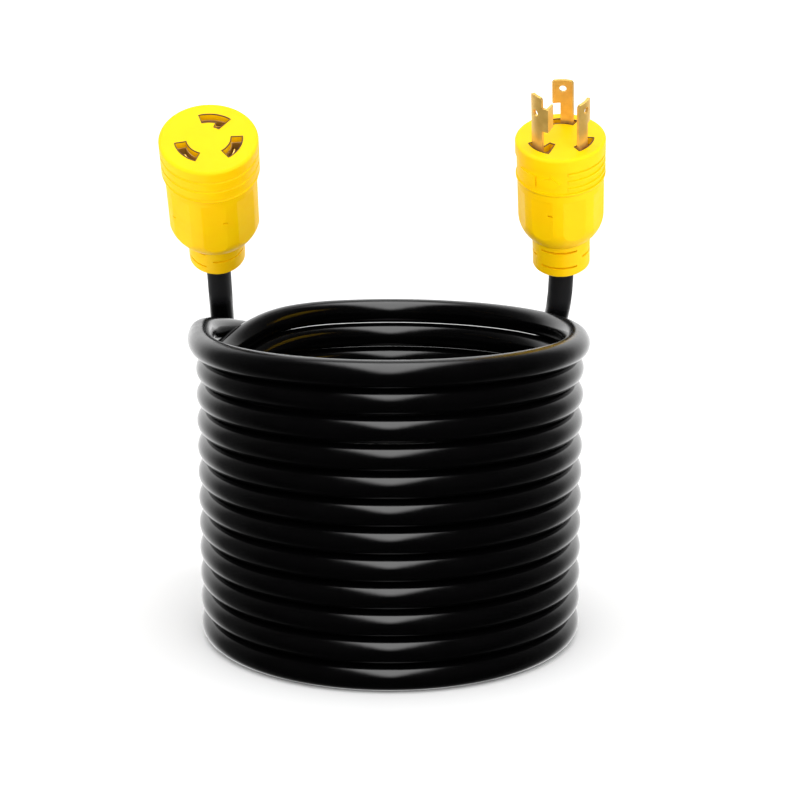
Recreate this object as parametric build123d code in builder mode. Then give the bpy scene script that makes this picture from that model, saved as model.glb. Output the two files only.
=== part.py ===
"""30-amp shore power cord: a coiled three-wire cable with a locking connector and a locking plug.

Units are millimetres, +Z is up.  The origin is the middle of the footprint, on the surface that the
coil stands on.  The cable is wound clockwise, seen from above, into one neat stack of level turns.
Each moulded end is drawn in its own plane: its Z axis runs along the end, from the cable outwards,
with the end of the neck at 0 and the mating face at the end's length.  Levels named "drop" are
measured back from the mating face.
"""

from build123d import *
import os
from math import pi, tan, radians

os.makedirs("parts", exist_ok=True)

# Cable and coil
CABLE_D = 16.5
CABLE_R = CABLE_D / 2
TURNS = 12
TURN_RADIUS = 114.6
TURN_PITCH = CABLE_D * 1.008
TOP_TURN_OUT = 3.5
WEB_HALF = 2.5
COIL_X = 4.0
COIL_Y = -16.0
REST_FLAT = 0.15

# Uncoiled route of the cable, from the connector's neck down to the floor behind the coil
CONNECTOR_ROUTE = [
    (-113.5, 70, 234.2),
    (-114.5, 90.8, 210.3),
    (-114.5, 107, 172.0),
    (-113.5, 114, 132.0),
    (-113, 118, 81.5),
    (-86.5, 117, 35.0),
    (-40, 116, 8.25),
    (12, 115.3, 8.25),
]

# Uncoiled route of the cable, from the top turn round behind the coil and up to the plug's neck
PLUG_ROUTE = [
    (-104.0, 64.8, 183.0),
    (-67.8, 112.8, 168.0),
    (-18, 134.5, 150.0),
    (39, 128.5, 137.5),
    (93, 101, 148.5),
    (120.8, 67, 184.0),
    (117, 40, 233.5),
]

# Moulded ends: shared outline, in each end's own plane
NECK_R = 18.8
NECK_TOP = 23.0
SHOULDER_TOP = 40.5
COLLAR_DROP = 26.0
FACE_THICKNESS = 5.0
EDGE_R = 1.2
RIM_R = 2.0
JACKET_END = 16.0
CORE_R = 22.5
CORE_CONE_TOP = 32.0
PREMOULD_TOP = 54.0
FLOOR_TOP = 58.0

# Moulded ends: differences
CONNECTOR_LENGTH = 109.0
CONNECTOR_BODY_R = 30.2
CONNECTOR_FACE_R = 31.5
PLUG_LENGTH = 96.0
PLUG_BODY_R = 27.6
PLUG_FACE_R = 28.5
PLUG_BAND_R = 27.7
PLUG_BAND_DROP = 9.0

# Flats, marks and relief slots in the outer moulding
FLAT_COUNT = 8
FLAT_DEPTH = 1.0
FLAT_DROP = 32.0
MARK_SIZE = 3.2
MARK_HEIGHT = 1.1
MARK_DEPTH = 2.2
RELIEF_LEVELS = [19.3, 12.9, 7.4]
RELIEF_WIDTH = 1.5
RELIEF_DEPTH = 3.4
RELIEF_SPAN = 76.0
GROOVE_DROPS = [8.6, 16.6, 24.6]
GROOVE_R = 1.1

# Contacts and blades lie on one circle; angles are about the end's axis
POLE_R = 17.8
BLADE_T = 1.9
CONNECTOR_POLES = {"ground": 82.0, "line": -22.0, "neutral": 223.0}
PLUG_POLES = {"ground": 221.0, "line": 325.0, "neutral": 80.0}

# Sockets in the connector's face
SOCKET_IN = 14.2
SOCKET_OUT = 21.5
SOCKET_SPAN = 57.0
SOCKET_RIM = 0.6
HOOK_IN = 10.2
HOOK_SPAN = 21.0

# Clearance slots round the plug's blades
WELL_IN = 15.3
WELL_OUT = 21.0
WELL_SPAN = 50.0

# Blades, measured from the plug's face
BLADE_HEIGHT = 30.0
BLADE_NOTCH = 14.1
BLADE_START = -21.5
BLADE_NECK_SPAN = 27.0
BLADE_TOP_SPAN = 43.0
BLADE_HOLE_R = 2.3
BLADE_HOLE_DROP = 6.0
GROUND_HEIGHT = 36.0
GROUND_STEP = 29.0
GROUND_NOTCH = 13.2
GROUND_START = -25.0
GROUND_NECK_SPAN = 33.0
GROUND_MID_SPAN = 47.0
GROUND_TAB_IN = 10.8

# Spring contacts
LEAF_T = 0.8
LEAF_GAP = 2.4
LEAF_SPAN = 38.0
LEAF_DROP = 8.0

# Conductors inside the ends
WIRE_R = 2.4
WIRE_PACK_R = 3.1
WIRE_BEND_LOW = 19.0
WIRE_BEND_HIGH = 32.0
WIRE_BEND_R = 5.0
BARREL_BOTTOM = 37.0
BARREL_R = 2.6
STRAND_R = 1.6
STRAND_TOP = 47.0

# Raised details on the plug's band
RIB_HEIGHT = 1.7
RIB_DROPS = [11.4, 16.6, 21.8]
RIB_START = -84.0
RIB_SPAN = 84.0
ARROW_LENGTH = 15.0
ARROW_HALF = 3.1
ARROW_HEAD = 6.0
ARROW_HEAD_HALF = 5.6
PANEL_LENGTH = 12.0
PANEL_GAP = 1.2


def corner_radii(route):
    """The largest arc that each corner's two runs allow."""
    radii = []
    for before, corner, after in zip(route, route[1:], route[2:]):
        run_in = Vector(*corner) - Vector(*before)
        run_out = Vector(*after) - Vector(*corner)
        turn = radians(run_in.get_angle(run_out))
        radii.append(0.45 * min(run_in.length, run_out.length) / tan(turn / 2))
    return radii


def neck_plane(route):
    """The plane at the end of a neck, where the route's first two points give the direction."""
    return Plane(
        origin=route[0],
        x_dir=(1, 0, 0),
        z_dir=Vector(*route[0]) - Vector(*route[1]),
    )


def axial(plane, angle=0.0):
    """A plane through an end's axis: X points outwards at the angle and Y runs along the axis."""
    turned = Plane(plane.location * Rotation(0, 0, angle))
    return Plane(origin=plane.origin, x_dir=turned.x_dir, z_dir=-turned.y_dir)


def radial(plane, angle, height):
    """A plane on an end's axis that faces outwards at the angle, with Y along the axis."""
    turned = Plane(plane.offset(height).location * Rotation(0, 0, angle))
    return Plane(origin=turned.origin, x_dir=turned.y_dir, z_dir=turned.x_dir)


def axis_of(plane):
    return Axis(plane.origin, plane.z_dir)


def sector(inner, outer, start, span):
    """A stretch of a flat ring."""
    with BuildSketch(mode=Mode.PRIVATE) as shape:
        with BuildLine():
            outside = CenterArc((0, 0), outer, start, span)
            inside = CenterArc((0, 0), inner, start, span)
            Line(outside @ 0, inside @ 0)
            Line(outside @ 1, inside @ 1)
        make_face()
    return shape.sketch


def half_outline(body_r, face_r, length):
    """Half of a moulded end's outer outline, with X as the radius and Y along the axis."""
    with BuildSketch(mode=Mode.PRIVATE) as shape:
        with BuildLine():
            low = Polyline((0, 0), (NECK_R - EDGE_R, 0), (NECK_R, EDGE_R), (NECK_R, NECK_TOP))
            shoulder = TangentArc((body_r, SHOULDER_TOP), low @ 1, tangent=(0, -1))
            rim = CenterArc((face_r - RIM_R, length - RIM_R), RIM_R, 0, 90)
            Polyline(
                shoulder @ 0,
                (body_r, length - COLLAR_DROP - 1.5),
                (face_r, length - COLLAR_DROP),
                rim @ 0,
            )
            Polyline(rim @ 1, (0, length), (0, 0))
        make_face()
    return shape.sketch


def core_outline(length):
    """Half of the hollow inside a moulded end, filled by the inner mould and the insulator."""
    with BuildSketch(mode=Mode.PRIVATE) as shape:
        with BuildLine():
            Polyline(
                (0, 0),
                (CABLE_R, 0),
                (CABLE_R, JACKET_END),
                (CORE_R, CORE_CONE_TOP),
                (CORE_R, length - FACE_THICKNESS),
                (0, length - FACE_THICKNESS),
                (0, 0),
            )
        make_face()
    return shape.sketch


def outer_cuts(plane, body_r, flat_top, first_flat, first_slot, marks):
    """What is cut out of an outer moulding: flats, marks of the mould's pins and relief slots."""
    flat_width = 2 * (body_r**2 - (body_r - FLAT_DEPTH) ** 2) ** 0.5 + 1
    with BuildPart(mode=Mode.PRIVATE) as cuts:
        with BuildSketch(plane.offset(NECK_TOP)):
            with PolarLocations(body_r - FLAT_DEPTH, FLAT_COUNT, start_angle=first_flat):
                Rectangle(8, flat_width, align=(Align.MIN, Align.CENTER))
        extrude(amount=flat_top - NECK_TOP)
        for angle, height in marks:
            with BuildSketch(radial(plane, angle, height).offset(body_r - MARK_DEPTH)):
                Rectangle(MARK_SIZE, MARK_HEIGHT)
            extrude(amount=2 * MARK_DEPTH)
        for row, level in enumerate(RELIEF_LEVELS):
            for half in (0, 180):
                angle = first_slot + half + 90 * (row % 2)
                with BuildSketch(plane.offset(level - RELIEF_WIDTH / 2)):
                    add(sector(NECK_R - RELIEF_DEPTH, NECK_R + 2, angle, RELIEF_SPAN))
                extrude(amount=RELIEF_WIDTH)
    return cuts.part


connector = neck_plane(CONNECTOR_ROUTE)
plug = neck_plane(PLUG_ROUTE[::-1])
connector_block_top = CONNECTOR_LENGTH - FACE_THICKNESS
plug_block_top = PLUG_LENGTH - FACE_THICKNESS
coil_plane = Plane((COIL_X, COIL_Y, 0))
stack_height = (TURNS - 1) * TURN_PITCH

# Cable, along the stretches that are not coiled
for name, route in (("cable_lead_connector", CONNECTOR_ROUTE), ("cable_lead_plug", PLUG_ROUTE)):
    radii = corner_radii(route)
    print(name, "corner radii", [round(radius, 1) for radius in radii])
    with BuildPart() as lead:
        with BuildLine() as lead_path:
            FilletPolyline(*route, radius=radii)
        with BuildSketch(lead_path.line ^ 0):
            Circle(CABLE_R)
        sweep()
    length = lead_path.wires()[0].length
    ratio = lead.part.volume / (pi * CABLE_R**2 * length)
    print(name, "length", round(length, 1), "volume over section times length", round(ratio, 4))
    lead.part.label = name
    export_step(lead.part, f"parts/{name}.step")

# Cable, the stack of turns as one closed ring with the outline of the turns, resting on a narrow flat
with BuildPart() as cable_coil:
    with BuildSketch(axial(coil_plane)):
        with Locations((TURN_RADIUS, CABLE_R + stack_height / 2)):
            Rectangle(2 * WEB_HALF, stack_height)
        for turn in range(TURNS):
            turn_radius = TURN_RADIUS + (TOP_TURN_OUT if turn == TURNS - 1 else 0)
            with Locations((turn_radius, CABLE_R - REST_FLAT + turn * TURN_PITCH)):
                Circle(CABLE_R)
        with Locations((TURN_RADIUS, 0)):
            Rectangle(CABLE_D, CABLE_R, align=(Align.CENTER, Align.MAX), mode=Mode.SUBTRACT)
    revolve(axis=axis_of(coil_plane))
cable_coil.part.label = "cable_coil"
export_step(cable_coil.part, "parts/cable_coil.step")

# Conductors, crimps, jacket ends and inner moulds of both ends
wires = {}
strands = {}
jacket_ends = {}
for end, plane, poles in (("connector", connector, CONNECTOR_POLES), ("plug", plug, PLUG_POLES)):
    for pole, angle in poles.items():
        with BuildPart() as wire:
            with BuildLine(axial(plane, angle)) as wire_path:
                FilletPolyline(
                    (WIRE_PACK_R, 0),
                    (WIRE_PACK_R, WIRE_BEND_LOW),
                    (POLE_R, WIRE_BEND_HIGH),
                    (POLE_R, BARREL_BOTTOM),
                    radius=WIRE_BEND_R,
                )
            with BuildSketch(wire_path.line ^ 0):
                Circle(WIRE_R)
            sweep()
        wire.part.label = f"{end}_wire_{pole}"
        export_step(wire.part, f"parts/{end}_wire_{pole}.step")
        wires[end, pole] = wire.part

    with BuildPart() as strand:
        with BuildSketch(plane.offset(BARREL_BOTTOM)):
            for angle in poles.values():
                with PolarLocations(POLE_R, 1, start_angle=angle):
                    Circle(STRAND_R)
        extrude(amount=STRAND_TOP - BARREL_BOTTOM)
    strand.part.label = f"{end}_wire_strands"
    export_step(strand.part, f"parts/{end}_wire_strands.step")

    with BuildPart() as jacket_end:
        with BuildSketch(plane):
            Circle(CABLE_R)
        extrude(amount=JACKET_END)
        for pole in poles:
            add(wires[end, pole], mode=Mode.SUBTRACT)
    jacket_end.part.label = f"{end}_jacket_end"
    export_step(jacket_end.part, f"parts/{end}_jacket_end.step")

    with BuildPart() as inner_mould:
        with BuildSketch(axial(plane)):
            add(core_outline(PLUG_LENGTH))
        revolve(axis=axis_of(plane))
        split(bisect_by=plane.offset(JACKET_END), keep=Keep.TOP)
        split(bisect_by=plane.offset(PREMOULD_TOP), keep=Keep.BOTTOM)
        for pole in poles:
            add(wires[end, pole], mode=Mode.SUBTRACT)
        with BuildSketch(plane.offset(BARREL_BOTTOM)):
            for angle in poles.values():
                with PolarLocations(POLE_R, 1, start_angle=angle):
                    Circle(BARREL_R)
        extrude(amount=PREMOULD_TOP - BARREL_BOTTOM, mode=Mode.SUBTRACT)
    inner_mould.part.label = f"{end}_inner_mould"
    export_step(inner_mould.part, f"parts/{end}_inner_mould.step")

# Connector: outer moulding with three curved sockets
with BuildPart() as connector_overmould:
    with BuildSketch(axial(connector)):
        add(half_outline(CONNECTOR_BODY_R, CONNECTOR_FACE_R, CONNECTOR_LENGTH))
        add(core_outline(CONNECTOR_LENGTH), mode=Mode.SUBTRACT)
    revolve(axis=axis_of(connector))
    with BuildSketch(axial(connector)):
        with Locations(*[(CONNECTOR_FACE_R, CONNECTOR_LENGTH - drop) for drop in GROOVE_DROPS]):
            Circle(GROOVE_R)
    revolve(axis=axis_of(connector), mode=Mode.SUBTRACT)
    with BuildSketch(connector.offset(connector_block_top)):
        for pole, angle in CONNECTOR_POLES.items():
            add(sector(SOCKET_IN, SOCKET_OUT, angle - SOCKET_SPAN / 2, SOCKET_SPAN))
        add(sector(HOOK_IN, SOCKET_IN + 1, CONNECTOR_POLES["ground"] - SOCKET_SPAN / 2, HOOK_SPAN))
    extrude(amount=FACE_THICKNESS, mode=Mode.SUBTRACT)
    connector_cuts = outer_cuts(
        connector,
        CONNECTOR_BODY_R,
        CONNECTOR_LENGTH - FLAT_DROP,
        first_flat=-84,
        first_slot=-184,
        marks=[(-143, 55.5), (-70, 61)],
    )
    add(connector_cuts, mode=Mode.SUBTRACT)
connector_overmould.part.label = "connector_overmould"
export_step(connector_overmould.part, "parts/connector_overmould.step")

# Connector: insulator block with a chamber for each contact, open at both ends
with BuildPart() as connector_insulator:
    with BuildSketch(connector.offset(FLOOR_TOP)):
        Circle(CORE_R)
        for pole, angle in CONNECTOR_POLES.items():
            chamber = sector(
                SOCKET_IN + SOCKET_RIM,
                SOCKET_OUT - SOCKET_RIM,
                angle - SOCKET_SPAN / 2 + 2,
                SOCKET_SPAN - 4,
            )
            add(chamber, mode=Mode.SUBTRACT)
        hook = sector(
            HOOK_IN + SOCKET_RIM,
            SOCKET_IN + 1,
            CONNECTOR_POLES["ground"] - SOCKET_SPAN / 2 + 2,
            HOOK_SPAN - 4,
        )
        add(hook, mode=Mode.SUBTRACT)
    extrude(amount=connector_block_top - FLOOR_TOP)
connector_insulator.part.label = "connector_insulator"
export_step(connector_insulator.part, "parts/connector_insulator.step")

# Connector: plate behind the block, which closes the chambers round the crimp barrels
with BuildPart() as connector_contact_plate:
    with BuildSketch(connector.offset(PREMOULD_TOP)):
        Circle(CORE_R)
        for angle in CONNECTOR_POLES.values():
            with PolarLocations(POLE_R, 1, start_angle=angle):
                Circle(BARREL_R, mode=Mode.SUBTRACT)
    extrude(amount=FLOOR_TOP - PREMOULD_TOP)
connector_contact_plate.part.label = "connector_contact_plate"
export_step(connector_contact_plate.part, "parts/connector_contact_plate.step")

# Connector: brass spring contacts, two curved leaves on a base with a crimp barrel
for pole, angle in CONNECTOR_POLES.items():
    with BuildPart() as contact:
        with BuildSketch(connector.offset(FLOOR_TOP)):
            add(
                sector(
                    POLE_R - LEAF_GAP / 2 - LEAF_T,
                    POLE_R + LEAF_GAP / 2 + LEAF_T,
                    angle - LEAF_SPAN / 2,
                    LEAF_SPAN,
                )
            )
        extrude(amount=CONNECTOR_LENGTH - LEAF_DROP - FLOOR_TOP)
        with BuildSketch(connector.offset(FLOOR_TOP + LEAF_T)):
            add(
                sector(
                    POLE_R - LEAF_GAP / 2,
                    POLE_R + LEAF_GAP / 2,
                    angle - LEAF_SPAN,
                    2 * LEAF_SPAN,
                )
            )
        extrude(amount=CONNECTOR_LENGTH - LEAF_DROP - FLOOR_TOP, mode=Mode.SUBTRACT)
        with BuildSketch(connector.offset(BARREL_BOTTOM)):
            with PolarLocations(POLE_R, 1, start_angle=angle):
                Circle(BARREL_R)
        extrude(amount=FLOOR_TOP - BARREL_BOTTOM)
        with BuildSketch(connector.offset(BARREL_BOTTOM)):
            with PolarLocations(POLE_R, 1, start_angle=angle):
                Circle(STRAND_R)
        extrude(amount=STRAND_TOP - BARREL_BOTTOM, mode=Mode.SUBTRACT)
    contact.part.label = f"connector_contact_{pole}"
    export_step(contact.part, f"parts/connector_contact_{pole}.step")

# Plug: raised arrow and panel on the band, cut to the band's roundness
band_bottom = PLUG_LENGTH - COLLAR_DROP
band_top = PLUG_LENGTH - PLUG_BAND_DROP
with BuildPart() as plug_arrow:
    with BuildSketch(radial(plug, -112, (band_bottom + band_top) / 2).offset(PLUG_BODY_R / 2)):
        with Locations((-ARROW_LENGTH / 2 + 1, 0)):
            Rectangle(ARROW_LENGTH - ARROW_HEAD, 2 * ARROW_HALF, align=(Align.MIN, Align.CENTER))
        with BuildLine():
            Polyline(
                (ARROW_LENGTH / 2 + 1 - ARROW_HEAD, -ARROW_HEAD_HALF),
                (ARROW_LENGTH / 2 + 1, 0),
                (ARROW_LENGTH / 2 + 1 - ARROW_HEAD, ARROW_HEAD_HALF),
                close=True,
            )
        make_face()
        with Locations((-ARROW_LENGTH / 2 + 1 - PANEL_GAP, 0)):
            Rectangle(PANEL_LENGTH, 2 * ARROW_HALF + 2, align=(Align.MAX, Align.CENTER))
    extrude(amount=PLUG_BODY_R)
    with BuildSketch(plug.offset(band_bottom)):
        Circle(PLUG_FACE_R)
        Circle(PLUG_BAND_R - 1, mode=Mode.SUBTRACT)
    extrude(amount=band_top - band_bottom, mode=Mode.INTERSECT)

# Plug: outer moulding
with BuildPart() as plug_overmould:
    with BuildSketch(axial(plug)):
        add(half_outline(PLUG_BODY_R, PLUG_FACE_R, PLUG_LENGTH))
        add(core_outline(PLUG_LENGTH), mode=Mode.SUBTRACT)
    revolve(axis=axis_of(plug))
    with BuildSketch(plug.offset(band_bottom + 1)):
        Circle(PLUG_FACE_R + 1)
        Circle(PLUG_BAND_R, mode=Mode.SUBTRACT)
    extrude(amount=band_top - band_bottom - 1, mode=Mode.SUBTRACT)
    for drop in RIB_DROPS:
        with BuildSketch(plug.offset(PLUG_LENGTH - drop - RIB_HEIGHT / 2)):
            add(sector(PLUG_BAND_R - 1, PLUG_FACE_R - 0.1, RIB_START, RIB_SPAN))
        extrude(amount=RIB_HEIGHT)
    add(plug_arrow.part)
    with BuildSketch(plug.offset(plug_block_top)):
        for pole, angle in PLUG_POLES.items():
            add(sector(WELL_IN, WELL_OUT, angle - WELL_SPAN / 2, WELL_SPAN))
        add(
            sector(
                GROUND_TAB_IN - 1,
                WELL_IN + 1,
                PLUG_POLES["ground"] + WELL_SPAN / 2 - HOOK_SPAN,
                HOOK_SPAN,
            )
        )
    extrude(amount=FACE_THICKNESS, mode=Mode.SUBTRACT)
    plug_cuts = outer_cuts(
        plug,
        PLUG_BODY_R,
        PLUG_LENGTH - FLAT_DROP,
        first_flat=-75,
        first_slot=-137,
        marks=[(-108, 53.5)],
    )
    add(plug_cuts, mode=Mode.SUBTRACT)
plug_overmould.part.label = "plug_overmould"
export_step(plug_overmould.part, "parts/plug_overmould.step")

# Plug: insulator block that holds the blades
with BuildPart() as plug_insulator:
    with BuildSketch(plug.offset(PREMOULD_TOP)):
        Circle(CORE_R)
    extrude(amount=plug_block_top - PREMOULD_TOP)
    with BuildSketch(plug.offset(FLOOR_TOP)):
        for pole, angle in PLUG_POLES.items():
            start = GROUND_START if pole == "ground" else BLADE_START
            span = GROUND_NECK_SPAN if pole == "ground" else BLADE_NECK_SPAN
            add(sector(POLE_R - BLADE_T / 2, POLE_R + BLADE_T / 2, angle + start, span))
    extrude(amount=plug_block_top - FLOOR_TOP, mode=Mode.SUBTRACT)
    with BuildSketch(plug.offset(PREMOULD_TOP)):
        for angle in PLUG_POLES.values():
            with PolarLocations(POLE_R, 1, start_angle=angle):
                Circle(BARREL_R)
    extrude(amount=FLOOR_TOP - PREMOULD_TOP, mode=Mode.SUBTRACT)
plug_insulator.part.label = "plug_insulator"
export_step(plug_insulator.part, "parts/plug_insulator.step")

# Plug: curved brass blades with a locking notch, each with a crimp barrel inside
for pole, angle in PLUG_POLES.items():
    is_ground = pole == "ground"
    start = angle + (GROUND_START if is_ground else BLADE_START)
    neck_span = GROUND_NECK_SPAN if is_ground else BLADE_NECK_SPAN
    wide_span = GROUND_MID_SPAN if is_ground else BLADE_TOP_SPAN
    notch = GROUND_NOTCH if is_ground else BLADE_NOTCH
    wide_top = GROUND_STEP if is_ground else BLADE_HEIGHT
    height = GROUND_HEIGHT if is_ground else BLADE_HEIGHT
    blade_in = POLE_R - BLADE_T / 2
    blade_out = POLE_R + BLADE_T / 2
    with BuildPart() as blade:
        with BuildSketch(plug.offset(FLOOR_TOP)):
            add(sector(blade_in, blade_out, start, neck_span))
        extrude(amount=PLUG_LENGTH + height - FLOOR_TOP)
        with BuildSketch(plug.offset(PLUG_LENGTH + notch)):
            add(sector(blade_in, blade_out, start, wide_span))
            if is_ground:
                tab_turn = BLADE_T / blade_out * 180 / pi
                add(sector(GROUND_TAB_IN, blade_out, start + wide_span - tab_turn, tab_turn))
        extrude(amount=wide_top - notch)
        top_edges = blade.edges().group_by(axis_of(plug))[-1]
        fillet(top_edges.filter_by(lambda edge: edge.length < BLADE_T + 0.2), radius=2)
        hole_angle = start + (neck_span if is_ground else wide_span) / 2
        hole_height = PLUG_LENGTH + BLADE_HEIGHT - BLADE_HOLE_DROP
        with BuildSketch(radial(plug, hole_angle, hole_height).offset(blade_in - 2)):
            Circle(BLADE_HOLE_R)
        extrude(amount=BLADE_T + 4, mode=Mode.SUBTRACT)
        with BuildSketch(plug.offset(BARREL_BOTTOM)):
            with PolarLocations(POLE_R, 1, start_angle=angle):
                Circle(BARREL_R)
        extrude(amount=FLOOR_TOP - BARREL_BOTTOM)
        with BuildSketch(plug.offset(BARREL_BOTTOM)):
            with PolarLocations(POLE_R, 1, start_angle=angle):
                Circle(STRAND_R)
        extrude(amount=STRAND_TOP - BARREL_BOTTOM, mode=Mode.SUBTRACT)
    blade.part.label = f"plug_blade_{pole}"
    export_step(blade.part, f"parts/plug_blade_{pole}.step")
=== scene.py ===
"""Looks of the 30-amp shore power cord: one coiled cable with a locking connector and a locking plug.

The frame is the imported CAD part, in metres, +Z up, standing on z = 0.  The cable is one curve from the
connector's neck, down to the floor, through the whole coil and out to the plug's neck.  The moulded ends and
what is inside them are the CAD part's own nodes, with materials put on them here.
"""

from math import cos, pi, radians, sin

import bpy
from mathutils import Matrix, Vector


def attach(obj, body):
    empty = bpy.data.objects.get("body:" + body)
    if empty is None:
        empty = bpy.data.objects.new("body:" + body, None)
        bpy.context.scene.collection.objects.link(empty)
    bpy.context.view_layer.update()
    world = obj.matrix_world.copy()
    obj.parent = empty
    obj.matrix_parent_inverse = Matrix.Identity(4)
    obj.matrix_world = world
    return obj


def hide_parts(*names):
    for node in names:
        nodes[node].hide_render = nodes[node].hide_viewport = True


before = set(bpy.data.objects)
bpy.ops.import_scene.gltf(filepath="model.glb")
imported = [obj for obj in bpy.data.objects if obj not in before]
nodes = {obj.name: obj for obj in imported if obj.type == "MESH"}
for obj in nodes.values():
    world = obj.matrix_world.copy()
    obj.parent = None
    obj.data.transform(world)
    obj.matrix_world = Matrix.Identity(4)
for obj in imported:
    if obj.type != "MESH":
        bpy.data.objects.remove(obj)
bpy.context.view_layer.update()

# Cable and coil, as in the CAD part
CABLE_D = 0.0165
CABLE_R = CABLE_D / 2
TURNS = 12
TURN_PITCH = CABLE_D * 1.008  # the turns all but touch
TURN_RADIUS = 0.1146
TOP_TURN_OUT = 0.0035
TOP_TURN_SINK = 0.0004  # in CAD the top turn stays a full pitch above the turn under it
COIL_CENTRE = Vector((0.004, -0.016, 0.0))

# Control points of the two leads: from the connector's neck to the lowest turn, and from the top turn to
# the plug's neck
CONNECTOR_ROUTE = [
    (-0.1135, 0.0700, 0.2342),
    (-0.1145, 0.0908, 0.2103),
    (-0.1145, 0.1070, 0.1720),
    (-0.1135, 0.1140, 0.1320),
    (-0.1130, 0.1180, 0.0815),
    (-0.0865, 0.1170, 0.0350),
    (-0.0400, 0.1160, 0.00825),
    (0.0120, 0.1153, 0.00825),
]
PLUG_ROUTE = [
    (-0.1040, 0.0648, 0.1830),
    (-0.0678, 0.1128, 0.1680),
    (-0.0180, 0.1345, 0.1500),
    (0.0390, 0.1285, 0.1375),
    (0.0930, 0.1010, 0.1485),
    (0.1208, 0.0670, 0.1840),
    (0.1170, 0.0400, 0.2335),
]

# Winding of the coil, in degrees travelled clockwise, seen from above, from the +X direction.  The cable
# merges into the lowest turn from outside, climbs at the back of each turn and leaves the top turn outwards.
POINTS_PER_TURN = 24
STEP = 360 / POINTS_PER_TURN
COIL_START = -72.0
COIL_END = 360 * (TURNS - 1) + 198.0
MERGE_START, MERGE_END = -87.0, -40.0
CLIMB_START, CLIMB_END = 190.0, 238.0
TOP_START = 360 * (TURNS - 2) + CLIMB_START
LEAVE_START, LEAVE_END = 360 * (TURNS - 1) + 172.0, 360 * (TURNS - 1) + 217.0
# A spline of order 3 cuts the corners between its control points, so it runs at this share of their radius
SMOOTHED_RADIUS = (3 + cos(radians(STEP))) / 4

# Curved openings in the ends' faces: radii about the end's axis, and in degrees the span of each opening,
# its angle about the axis and the span of the hook that the ground's has
CONNECTOR_LENGTH = 0.109
SOCKET_INNER, SOCKET_OUTER, SOCKET_SPAN = 0.0142, 0.0215, 57.0
SOCKET_ANGLES = {"ground": 82.0, "line": -22.0, "neutral": 223.0}
SOCKET_HOOK_INNER = 0.0102
PLUG_LENGTH = 0.096
WELL_INNER, WELL_OUTER, WELL_SPAN = 0.0153, 0.021, 50.0
WELL_ANGLES = {"ground": 221.0, "line": 325.0, "neutral": 80.0}
WELL_HOOK_INNER = 0.0098
HOOK_SPAN = 21.0
# Radius of the thin tube of painted shade round each opening
EDGE_R = 0.0004

# Tubes: with a bevel of one unit, the radius of a point is the radius of the tube there
BEVEL_UNIT = 1.0
CABLE_ROUNDNESS = 8
EDGE_ROUNDNESS = 2
SPLINE_STEPS = 8

# Heights between which the cable's gloss gives way to the duller look of the two leads
LEAD_LOOK_START, LEAD_LOOK_END = 0.196, 0.206

# Mottle of the plain materials: how dark its patches are, and how much their roughness varies
MOTTLE_SHADE = 0.75
MOTTLE_ROUGHNESS = 0.06

# Sockets of the mix node, which has one pair for each kind of data
MIX_NUMBER_A, MIX_NUMBER_B, MIX_NUMBER_OUT = 2, 3, 0
MIX_COLOUR_A, MIX_COLOUR_B, MIX_COLOUR_OUT = 6, 7, 2

# Camera, at the photograph's viewing angle
CAMERA_DISTANCE = 1.0708
CAMERA_HEIGHT = 0.375
CAMERA_SIDE = 0.0063
CAMERA_DOWN = radians(11.8)
SENSOR = 36.0
LENS = 76.98

# Studio
FLOOR_HALF = 6.0
OPEN_SKY = 1.45
DARK_ROOM = 0.01
BACKDROP = 1.3
BACKDROP_GLOW = 0.1
LAMP = 4.4
LAMP_TAPER = 2.7
LAMP_ROUND = 0.06
SKY_WHITE = (1, 1, 1, 1)
TOP_BOX = (0.03, -0.69, 1.49)
FILL_BOX = (0.3, -0.95, 0.15)
COIL_MIDDLE = (0, 0, 0.12)
ENDS_MIDDLE = (0, 0, 0.28)


def smooth(start, end, value):
    """0 before start, 1 after end and a smooth step between."""
    t = min(1.0, max(0.0, (value - start) / (end - start)))
    return t * t * (3 - 2 * t)


def coil_point(travel):
    """The control point of the coil at that many degrees of travel."""
    merging = 1 - smooth(MERGE_START, MERGE_END, travel)
    leaving = smooth(LEAVE_START, LEAVE_END, travel)
    topmost = smooth(TOP_START, TOP_START + CLIMB_END - CLIMB_START, travel)
    radius = (TURN_RADIUS + TOP_TURN_OUT * topmost + CABLE_D * (merging + leaving)) / SMOOTHED_RADIUS
    level = sum(
        smooth(360 * turn + CLIMB_START, 360 * turn + CLIMB_END, travel) for turn in range(TURNS - 1)
    )
    angle = radians(-travel)
    height = CABLE_R + level * TURN_PITCH - TOP_TURN_SINK * topmost
    return COIL_CENTRE + Vector((radius * cos(angle), radius * sin(angle), height))


def round_curve(name, kind, points, radius, roundness):
    """A round tube along one spline."""
    curve = bpy.data.curves.new(name, "CURVE")
    curve.dimensions = "3D"
    curve.bevel_depth = BEVEL_UNIT
    curve.bevel_resolution = roundness
    curve.resolution_u = SPLINE_STEPS
    spline = curve.splines.new(kind)
    spline.points.add(len(points) - 1)
    for point, place in zip(spline.points, points):
        point.co = (*place, 1)
        point.radius = radius
    piece = bpy.data.objects.new(name, curve)
    bpy.context.scene.collection.objects.link(piece)
    return piece


def paint(piece, material):
    piece.data.materials.clear()
    piece.data.materials.append(material)


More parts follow.
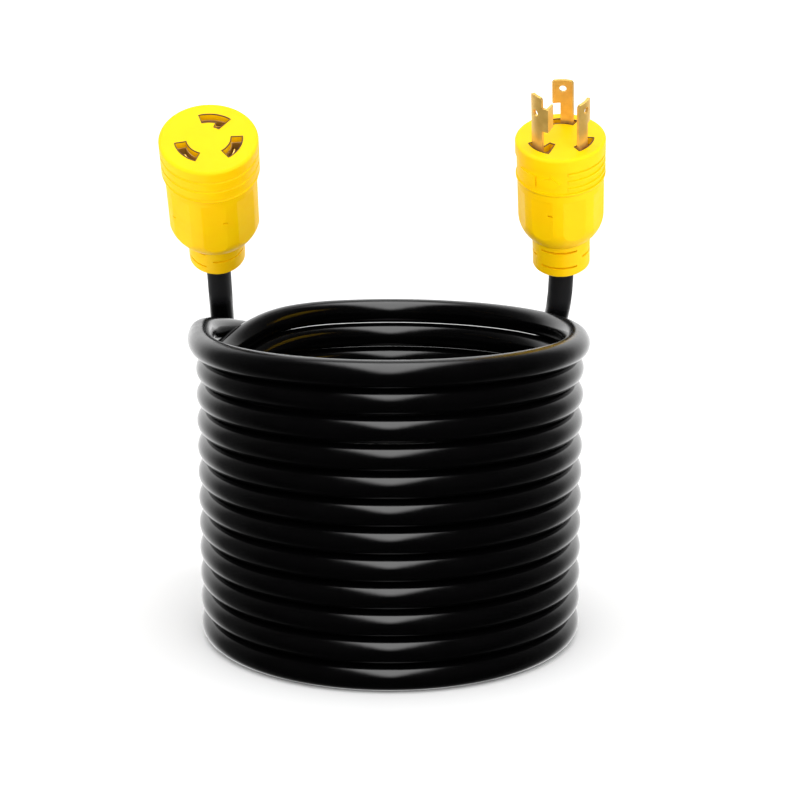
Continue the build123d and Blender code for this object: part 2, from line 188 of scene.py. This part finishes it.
class Tree:
    """A node tree whose nodes are made and linked in one call."""

    def __init__(self, tree):
        self.tree = tree

    def feed(self, socket, value):
        if isinstance(value, bpy.types.NodeSocket):
            self.tree.links.new(value, socket)
        else:
            socket.default_value = value

    def node(self, kind, settings=None, **inputs):
        made = self.tree.nodes.new(kind)
        for key, value in (settings or {}).items():
            setattr(made, key, value)
        for key, value in inputs.items():
            self.feed(made.inputs[key.replace("_", " ")], value)
        return made

    def spread(self, value, low, high, start=0.3, end=0.7, easing="LINEAR"):
        """value between start and end mapped on to low and high."""
        made = self.node(
            "ShaderNodeMapRange",
            {"interpolation_type": easing},
            Value=value,
            From_Min=start,
            From_Max=end,
            To_Min=low,
            To_Max=high,
        )
        return made.outputs["Result"]

    def math(self, operation, *values):
        made = self.node("ShaderNodeMath", {"operation": operation})
        for socket, value in zip(made.inputs, values):
            self.feed(socket, value)
        return made.outputs["Value"]


class Shader(Tree):
    """A material with its principled surface."""

    def __init__(self, name):
        self.material = bpy.data.materials.new(name)
        self.material.use_nodes = True
        super().__init__(self.material.node_tree)
        self.surface = self.tree.nodes["Principled BSDF"]

    def set(self, **inputs):
        for key, value in inputs.items():
            self.feed(self.surface.inputs[key.replace("_", " ")], value)

    def place(self):
        return self.node("ShaderNodeTexCoord").outputs["Object"]

    def noise(self, scale, detail=3.0, roughness=0.5, vector=None):
        made = self.node("ShaderNodeTexNoise", Scale=scale, Detail=detail, Roughness=roughness)
        self.feed(made.inputs["Vector"], vector or self.place())
        return made.outputs["Fac"]

    def mix(self, share, first, second):
        """A number between two others."""
        made = self.node("ShaderNodeMix", Factor=share)
        self.feed(made.inputs[MIX_NUMBER_A], first)
        self.feed(made.inputs[MIX_NUMBER_B], second)
        return made.outputs[MIX_NUMBER_OUT]

    def blend(self, share, first, second):
        """A colour between two others."""
        made = self.node("ShaderNodeMix", {"data_type": "RGBA"}, Factor=share)
        self.feed(made.inputs[MIX_COLOUR_A], first)
        self.feed(made.inputs[MIX_COLOUR_B], second)
        return made.outputs[MIX_COLOUR_OUT]

    def bump(self, height, depth, strength, normal=None):
        made = self.node("ShaderNodeBump", Height=height, Distance=depth, Strength=strength)
        if normal:
            self.feed(made.inputs["Normal"], normal)
        return made.outputs["Normal"]


def cable_material():
    """Black flexible jacket: glossy on the coil and a dull charcoal on the leads."""
    shader = Shader("cable_black")
    height = shader.node("ShaderNodeSeparateXYZ", Vector=shader.place()).outputs["Z"]
    on_leads = shader.spread(height, low=0.0, high=1.0, start=LEAD_LOOK_START, end=LEAD_LOOK_END)
    mottle = shader.noise(scale=60)
    glossy = shader.spread(mottle, low=0.13, high=0.19)
    dull = shader.spread(mottle, low=0.5, high=0.6)
    black = (0.0006, 0.0006, 0.0007, 1)
    charcoal = (0.011, 0.011, 0.0125, 1)
    grain = shader.bump(shader.noise(scale=1400, detail=2), depth=0.00002, strength=0.35)
    shader.set(
        Base_Color=shader.blend(on_leads, black, charcoal),
        Roughness=shader.mix(on_leads, glossy, dull),
        Normal=shader.bump(shader.noise(scale=90, detail=2), depth=0.0002, strength=0.3, normal=grain),
    )
    return shader.material


def yellow_material():
    """Satin yellow moulding with a fine grain and slightly deeper tone in patches."""
    shader = Shader("moulding_yellow")
    patches = shader.spread(shader.noise(scale=45, detail=4), low=0.0, high=1.0)
    bright = (1.0, 0.63, 0.0, 1)
    deep = (1.0, 0.57, 0.0, 1)
    grain = shader.bump(shader.noise(scale=2600, detail=2), depth=0.00002, strength=0.5)
    shader.set(
        Base_Color=shader.blend(patches, bright, deep),
        Roughness=shader.spread(shader.noise(scale=220), low=0.38, high=0.52),
        Specular_IOR_Level=0.15,
        Subsurface_Weight=0.08,
        Subsurface_Scale=0.003,
        Subsurface_Radius=(1.0, 0.6, 0.1),
        Normal=shader.bump(shader.noise(scale=130, detail=2), depth=0.00015, strength=0.3, normal=grain),
    )
    return shader.material


def brass_material():
    """Stamped brass with faint drawing lines and tarnish."""
    shader = Shader("brass")
    lines = shader.node("ShaderNodeMapping", Vector=shader.place(), Scale=(1, 1, 0.06))
    brushed = shader.noise(scale=2200, roughness=0.6, vector=lines.outputs["Vector"])
    tarnish = shader.spread(shader.noise(scale=160, detail=4), low=0.0, high=1.0)
    clean = (0.92, 0.60, 0.16, 1)
    tarnished = (0.78, 0.48, 0.11, 1)
    shader.set(
        Base_Color=shader.blend(tarnish, clean, tarnished),
        Metallic=0.6,
        Specular_IOR_Level=0.2,
        Roughness=shader.spread(brushed, low=0.34, high=0.46),
        Normal=shader.bump(brushed, depth=0.00001, strength=0.4),
    )
    return shader.material


def plain_material(name, colour, roughness, metallic=0.0):
    """A hidden or inner piece, with a light mottle."""
    shader = Shader(name)
    mottle = shader.spread(shader.noise(scale=120), low=0.0, high=1.0)
    darker = tuple(MOTTLE_SHADE * part for part in colour)
    smoother, rougher = roughness - MOTTLE_ROUGHNESS, roughness + MOTTLE_ROUGHNESS
    shader.set(
        Base_Color=shader.blend(mottle, (*colour, 1), (*darker, 1)),
        Metallic=metallic,
        Roughness=shader.spread(shader.noise(scale=300), low=smoother, high=rougher),
        Normal=shader.bump(shader.noise(scale=1500), depth=0.00003, strength=0.4),
    )
    return shader.material


def end_axes(neck, inward):
    """Where a moulded end's neck ends, and its X, Y and outward directions, as in the CAD part."""
    origin = Vector(neck)
    outward = (origin - Vector(inward)).normalized()
    across = (Vector((1, 0, 0)) - outward * outward.x).normalized()
    return origin, across, outward.cross(across), outward


def ring_points(axes, level, radius, start, span, steps=12):
    """Points on an arc about the end's axis."""
    origin, across, up, outward = axes
    made = []
    for step in range(steps + 1):
        angle = radians(start + span * step / steps)
        made.append(origin + outward * level + (across * cos(angle) + up * sin(angle)) * radius)
    return made


def opening_shade_line(name, material, axes, level, inner, outer, start, span, hook=None):
    """A thin dark brown tube round a curved opening, painted shade at its lip; hook is the ground's notch
    towards the axis: its radius and start.
    """
    outside = ring_points(axes, level, outer, start, span)
    if hook is None:
        inside = ring_points(axes, level, inner, start, span)
    else:
        hook_inner, hook_start = hook
        hook_end = hook_start + HOOK_SPAN
        inside = []
        if hook_start > start:
            inside += ring_points(axes, level, inner, start, hook_start - start)
        inside += ring_points(axes, level, hook_inner, hook_start, HOOK_SPAN)
        inside += ring_points(axes, level, inner, hook_end, start + span - hook_end)
    piece = round_curve(name, "POLY", outside + inside[::-1], EDGE_R, EDGE_ROUNDNESS)
    piece.data.splines[0].use_cyclic_u = True
    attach(piece, "root")
    paint(piece, material)


def softbox(name, place, target, side, radiance):
    """A square area light that faces its target and isn't seen itself, directly or in reflections."""
    light = bpy.data.lights.new(name, "AREA")
    light.shape = "RECTANGLE"
    light.size = side
    light.size_y = side
    light.energy = radiance * pi * side * side
    lamp = bpy.data.objects.new(name, light)
    lamp.location = place
    lamp.rotation_euler = (Vector(target) - Vector(place)).to_track_quat("-Z", "Y").to_euler()
    lamp.visible_camera = False
    lamp.visible_glossy = False
    bpy.context.scene.collection.objects.link(lamp)


# The cable
coil_steps = int((COIL_END - COIL_START) / STEP)
coil_points = [coil_point(COIL_START + step * STEP) for step in range(coil_steps + 1)]
cable_points = [*map(Vector, CONNECTOR_ROUTE), *coil_points, *map(Vector, PLUG_ROUTE)]
cable = round_curve("cable", "NURBS", cable_points, CABLE_R, CABLE_ROUNDNESS)
cable.data.use_fill_caps = True
cable.data.splines[0].order_u = 3
cable.data.splines[0].use_endpoint_u = True
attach(cable, "root")
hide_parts("cable_coil", "cable_lead_connector", "cable_lead_plug")

# Materials, by the part of a node's name that follows the end it belongs to
black_cable = cable_material()
yellow = yellow_material()
brass = brass_material()
# Dark brown for the painted shade round the openings in the ends' faces
painted_shade_brown = plain_material("painted_shade_brown", (0.12, 0.045, 0.01), 0.5)
materials = {
    "overmould": yellow,
    "insulator": plain_material("insulator_amber", (0.5, 0.28, 0.05), 0.5),
    "contact_plate": plain_material("plate_brown", (0.12, 0.06, 0.015), 0.5),
    "inner_mould": plain_material("mould_grey", (0.5, 0.5, 0.48), 0.5),
    "jacket_end": black_cable,
    "wire_line": plain_material("wire_black", (0.02, 0.02, 0.02), 0.4),
    "wire_neutral": plain_material("wire_white", (0.8, 0.8, 0.78), 0.4),
    "wire_ground": plain_material("wire_green", (0.03, 0.3, 0.07), 0.4),
    "wire_strands": plain_material("copper", (0.85, 0.42, 0.25), 0.3, 1.0),
    "contact_line": brass,
    "contact_neutral": brass,
    "contact_ground": brass,
    "blade_line": brass,
    "blade_neutral": brass,
    "blade_ground": brass,
}
paint(cable, black_cable)
for name, piece in nodes.items():
    kind = name.split("_", 1)[1]
    if kind in materials:
        paint(piece, materials[kind])

# The connector's yellow would show as a brown streak on the coil's rim, which the photograph doesn't have
nodes["connector_overmould"].visible_glossy = False

# Painted shade: a thin brown line round each opening, in the plane of its end's face, standing in for the
# dark shade at its lip. The ground socket's hook is at the start of its arc, and the ground well's at the
# end.
connector_axes = end_axes(CONNECTOR_ROUTE[0], CONNECTOR_ROUTE[1])
for pole, angle in SOCKET_ANGLES.items():
    opening_shade_line(
        f"socket_shade_line_{pole}",
        painted_shade_brown,
        connector_axes,
        CONNECTOR_LENGTH,
        SOCKET_INNER,
        SOCKET_OUTER,
        angle - SOCKET_SPAN / 2,
        SOCKET_SPAN,
        (SOCKET_HOOK_INNER, angle - SOCKET_SPAN / 2) if pole == "ground" else None,
    )
plug_axes = end_axes(PLUG_ROUTE[-1], PLUG_ROUTE[-2])
for pole, angle in WELL_ANGLES.items():
    opening_shade_line(
        f"well_shade_line_{pole}",
        painted_shade_brown,
        plug_axes,
        PLUG_LENGTH,
        WELL_INNER,
        WELL_OUTER,
        angle - WELL_SPAN / 2,
        WELL_SPAN,
        (WELL_HOOK_INNER, angle + WELL_SPAN / 2 - HOOK_SPAN) if pole == "ground" else None,
    )

# Camera
camera_data = bpy.data.cameras.new("camera")
camera_data.sensor_width = SENSOR
camera_data.lens = LENS
camera_data.clip_start = 0.05
camera_data.clip_end = 50
camera = bpy.data.objects.new("camera", camera_data)
camera.location = COIL_CENTRE + Vector((CAMERA_SIDE, -CAMERA_DISTANCE, CAMERA_HEIGHT))
camera.rotation_euler = (pi / 2 - CAMERA_DOWN, 0, 0)
bpy.context.scene.collection.objects.link(camera)
bpy.context.scene.camera = camera
bpy.context.scene.view_settings.view_transform = "Standard"

# Floor
floor_mesh = bpy.data.meshes.new("floor")
floor_mesh.from_pydata(
    [(x * FLOOR_HALF, y * FLOOR_HALF, 0) for x, y in ((-1, -1), (1, -1), (1, 1), (-1, 1))],
    [],
    [(0, 1, 2, 3)],
)
floor = bpy.data.objects.new("floor", floor_mesh)
bpy.context.scene.collection.objects.link(floor)
floor.visible_glossy = False
floor_shader = Shader("floor_white")
floor_shader.set(
    Base_Color=floor_shader.blend(floor_shader.noise(scale=3), (0.9, 0.9, 0.9, 1), (0.91, 0.91, 0.91, 1)),
    Roughness=0.9,
    Specular_IOR_Level=0.0,
)
paint(floor, floor_shader.material)

# World: open white sky for everything but glossy rays.  They see a backdrop that brightens behind the
# object, and in front of it a dark room with one tall lamp that narrows downwards to a rounded foot.
world = bpy.data.worlds.new("studio")
world.use_nodes = True
sky = Tree(world.node_tree)
open_sky = sky.tree.nodes["Background"]
open_sky.inputs["Color"].default_value = SKY_WHITE
open_sky.inputs["Strength"].default_value = OPEN_SKY
sky_place = sky.node("ShaderNodeTexCoord").outputs["Generated"]
direction = sky.node("ShaderNodeSeparateXYZ", Vector=sky_place).outputs
backdrop = sky.math(
    "ADD",
    sky.spread(direction["Y"], low=0.0, high=BACKDROP, start=0.4, end=0.92, easing="SMOOTHSTEP"),
    sky.spread(direction["Y"], low=0.0, high=BACKDROP_GLOW, start=-0.2, end=0.5, easing="SMOOTHSTEP"),
)
aside = sky.math("MULTIPLY", direction["X"], direction["X"])
aside = sky.math("SQRT", sky.math("ADD", aside, LAMP_ROUND**2))
aside = sky.math("MULTIPLY", sky.math("SUBTRACT", aside, LAMP_ROUND), LAMP_TAPER)
above = sky.math("SUBTRACT", direction["Z"], aside)
lamp_shape = sky.spread(above, low=0.0, high=LAMP, start=0.05, end=0.6, easing="SMOOTHSTEP")
in_front = sky.spread(direction["Y"], low=1.0, high=0.0, start=0.2, end=0.45, easing="SMOOTHSTEP")
front_lamp = sky.math("MULTIPLY", lamp_shape, in_front)
brightness = sky.math("ADD", sky.math("ADD", backdrop, front_lamp), DARK_ROOM)
dark_sky = sky.node("ShaderNodeBackground", Color=SKY_WHITE, Strength=brightness)
either = sky.node("ShaderNodeMixShader", Fac=sky.node("ShaderNodeLightPath").outputs["Is Glossy Ray"])
sky.feed(either.inputs[1], open_sky.outputs["Background"])
sky.feed(either.inputs[2], dark_sky.outputs["Background"])
sky.feed(sky.tree.nodes["World Output"].inputs["Surface"], either.outputs["Shader"])
bpy.context.scene.world = world

softbox("top", TOP_BOX, COIL_MIDDLE, side=1.1, radiance=0.5)
softbox("fill", FILL_BOX, ENDS_MIDDLE, side=0.8, radiance=1.3)
